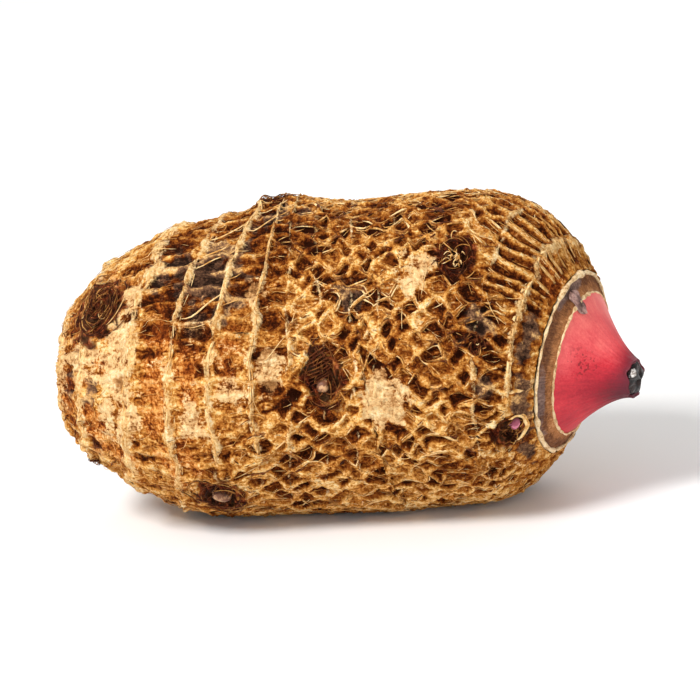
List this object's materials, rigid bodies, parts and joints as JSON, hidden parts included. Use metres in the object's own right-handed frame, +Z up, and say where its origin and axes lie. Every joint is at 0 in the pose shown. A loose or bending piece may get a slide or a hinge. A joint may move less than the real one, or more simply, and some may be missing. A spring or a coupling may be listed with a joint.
{
  "type": "cocoyam",
  "caption": "Whole cocoyam corm: a stout ringed root with a shaggy brown fibrous skin, round at the tail, with a collar and a pointed pink bud at the crown.",
  "frame": {"origin": "middle of the corm's outline seen from above, on the surface that it rests on", "axes": "+X along the corm from tail to crown, +Z up, and the crown turns slightly towards -Y"},
  "size_m": [0.1028, 0.055, 0.0539],
  "materials": {
    "skin": "dry corky skin, dark brown in its hollows and tan where it is rubbed",
    "fibre": "dry golden tan leaf-base fibre, matte",
    "crown": "smooth living bud tissue, crimson pink with a soft satin sheen",
    "stub": "dark dried sap and tissue, glossy in places"
  },
  "bodies": {
    "root": {"corm": "skin"}
  },
  "joints": []
}
